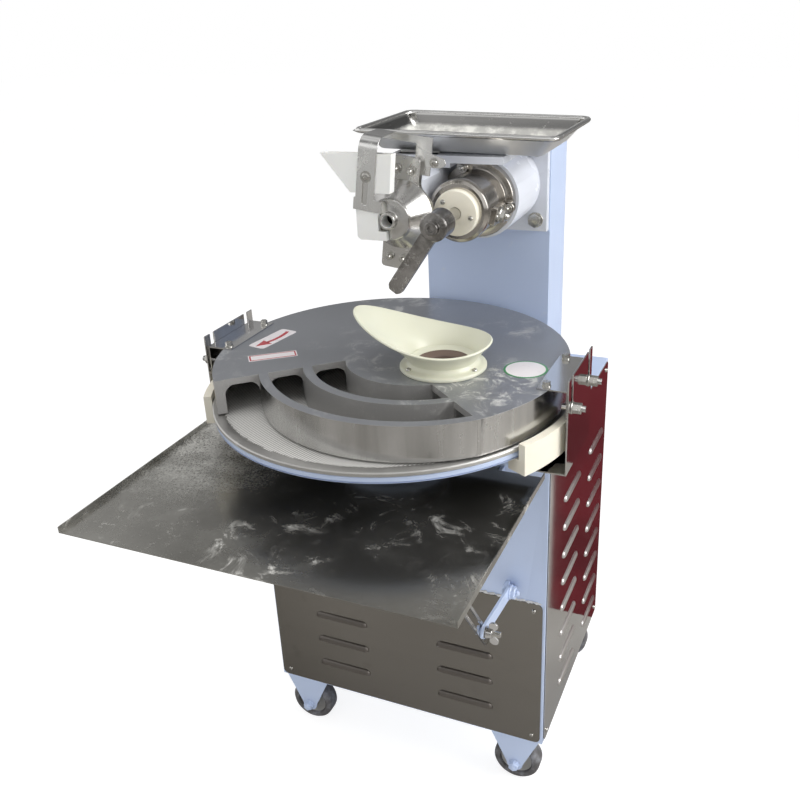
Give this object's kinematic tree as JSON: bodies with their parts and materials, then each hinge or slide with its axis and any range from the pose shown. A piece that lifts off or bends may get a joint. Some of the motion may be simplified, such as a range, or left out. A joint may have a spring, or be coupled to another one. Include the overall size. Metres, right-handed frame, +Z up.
{
  "type": "divider rounder",
  "caption": "Dough divider rounder on casters: hopper, dough pump and rotary knife on a column, funnel, spiral cover over a turntable, and a tilting catch tray.",
  "frame": {"origin": "On the floor under the middle of the outline.", "axes": "+Z up from the floor, +X to the right as seen from the tray side, +Y from the tray towards the column and the back panel."},
  "size_m": [0.586, 0.7326, 1.0133],
  "materials": {
    "blue_paint": "satin light blue enamel",
    "white_paint": "gloss white enamel",
    "stainless": "brushed stainless sheet",
    "polished_steel": "polished stainless",
    "tray_steel": "worn stainless sheet with flour marks",
    "machine_steel": "turned steel",
    "knife_steel": "dark worn steel",
    "cast_aluminium": "cast and machined",
    "nylon": "cream nylon",
    "ivory_plastic": "moulded ivory plastic",
    "white_plastic": "white plastic",
    "belt_rubber": "black rubber",
    "wheel_rubber": "grey rubber",
    "gland_plastic": "black plastic"
  },
  "bodies": {
    "base": {"frame": "blue_paint", "front_panel": "stainless", "side_panel_l": "polished_steel", "side_panel_r": "polished_steel", "back_panel": "stainless", "panel_screws": "stainless", "cable_gland": "gland_plastic", "caster_fork_fl": "blue_paint", "caster_fork_fr": "blue_paint", "caster_fork_rl": "blue_paint", "caster_fork_rr": "blue_paint", "deck_plate": "blue_paint", "pivot_post": "machine_steel", "gearbox": "cast_aluminium", "drive_belt": "belt_rubber", "rounder_motor": "cast_aluminium", "bracket_l": "polished_steel", "bracket_r": "polished_steel", "guide_block_l": "nylon", "guide_block_r": "nylon", "column": "blue_paint", "pump_body": "white_paint", "head_bolts": "machine_steel", "drum": "polished_steel", "end_cap": "nylon", "head_chain": "machine_steel", "head_motor": "cast_aluminium", "outlet_bell": "polished_steel", "guard_strap": "polished_steel", "flour_cup": "white_plastic", "tray_hinge": "blue_paint"},
    "turntable": {"turntable_plate": "cast_aluminium", "turntable_base": "blue_paint", "turntable_pulley": "machine_steel"},
    "drive_shaft": {"gearbox_shaft": "machine_steel", "motor_pulley": "machine_steel"},
    "cover": {"cover_disc": "cast_aluminium", "funnel": "ivory_plastic", "cover_screws": "polished_steel", "hanger_l": "polished_steel", "hanger_r": "polished_steel", "hanger_nuts": "polished_steel"},
    "knife": {"knife_shaft": "machine_steel", "knife_arm": "knife_steel", "knife_gear": "machine_steel", "head_sprocket": "machine_steel"},
    "feed": {"feed_rotor": "machine_steel", "feed_gear": "machine_steel"},
    "head_drive": {"motor_sprocket": "machine_steel"},
    "hopper_body": {"hopper": "stainless"},
    "flour": {"flour_box": "white_plastic"},
    "tray_body": {"tray": "tray_steel"},
    "arm": {"tray_arm": "blue_paint"},
    "link": {"tray_link": "polished_steel"},
    "clamp": {"wing_nut": "polished_steel"},
    "wheel_fl": {"caster_wheel_fl": "wheel_rubber"},
    "wheel_fr": {"caster_wheel_fr": "wheel_rubber"},
    "wheel_rl": {"caster_wheel_rl": "wheel_rubber"},
    "wheel_rr": {"caster_wheel_rr": "wheel_rubber"}
  },
  "joints": [
    {"name": "turntable_spin", "type": "hinge", "parent": "base", "child": "turntable", "pos_m": [0.009, -0.00625, 0.66], "axis": [0, 0, 1], "continuous": true},
    {"name": "drive_shaft_spin", "type": "hinge", "parent": "base", "child": "drive_shaft", "pos_m": [0.009, 0.16775, 0.6], "axis": [0, 0, 1], "continuous": true},
    {"name": "cover_lift", "type": "slide", "parent": "base", "child": "cover", "axis": [0, 0, 1], "range_m": [0, 0.008]},
    {"name": "knife_spin", "type": "hinge", "parent": "base", "child": "knife", "pos_m": [0.091, 0.12775, 0.906], "axis": [0, 1, 0], "continuous": true},
    {"name": "feed_spin", "type": "hinge", "parent": "base", "child": "feed", "pos_m": [0.021, 0.12775, 0.906], "axis": [0, 1, 0], "continuous": true},
    {"name": "head_drive_spin", "type": "hinge", "parent": "base", "child": "head_drive", "pos_m": [0.091, 0.28775, 0.42], "axis": [0, 1, 0], "continuous": true},
    {"name": "hopper_lift", "type": "slide", "parent": "base", "child": "hopper_body", "axis": [0, 0, 1], "range_m": [0, 0.06]},
    {"name": "flour_slide", "type": "slide", "parent": "base", "child": "flour", "axis": [0.134, 0, 0.991], "range_m": [-0.006, 0.001]},
    {"name": "tray_tilt", "type": "hinge", "parent": "base", "child": "tray_body", "pos_m": [0.009, -0.03025, 0.572], "axis": [1, 0, 0], "range_deg": [-4, 8]},
    {"name": "arm_swing", "type": "hinge", "parent": "base", "child": "arm", "pos_m": [0.19, -0.03625, 0.382], "axis": [1, 0, 0], "range_deg": [-1.2, 2.4]},
    {"name": "link_swing", "type": "hinge", "parent": "tray_body", "child": "link", "pos_m": [0.1865, -0.27225, 0.566], "axis": [1, 0, 0], "range_deg": [-3.68, 1.84]},
    {"name": "wing_nut_turn", "type": "hinge", "parent": "arm", "child": "clamp", "pos_m": [0.198, -0.14625, 0.394], "axis": [1, 0, 0], "range_deg": [0, 360]},
    {"name": "wheel_fl_spin", "type": "hinge", "parent": "base", "child": "wheel_fl", "pos_m": [-0.178, 0.00175, 0.0375], "axis": [0, 1, 0], "continuous": true},
    {"name": "wheel_fr_spin", "type": "hinge", "parent": "base", "child": "wheel_fr", "pos_m": [0.196, 0.00175, 0.0375], "axis": [0, 1, 0], "continuous": true},
    {"name": "wheel_rl_spin", "type": "hinge", "parent": "base", "child": "wheel_rl", "pos_m": [-0.178, 0.31875, 0.0375], "axis": [0, 1, 0], "continuous": true},
    {"name": "wheel_rr_spin", "type": "hinge", "parent": "base", "child": "wheel_rr", "pos_m": [0.196, 0.31875, 0.0375], "axis": [0, 1, 0], "continuous": true}
  ],
  "couplings": [
    {"joint": "drive_shaft_spin", "follows": "turntable_spin", "ratio": 2.3333},
    {"joint": "feed_spin", "follows": "knife_spin", "ratio": -1},
    {"joint": "head_drive_spin", "follows": "knife_spin", "ratio": 1},
    {"joint": "arm_swing", "follows": "tray_tilt", "ratio": 0.3},
    {"joint": "link_swing", "follows": "tray_tilt", "ratio": -0.46}
  ]
}
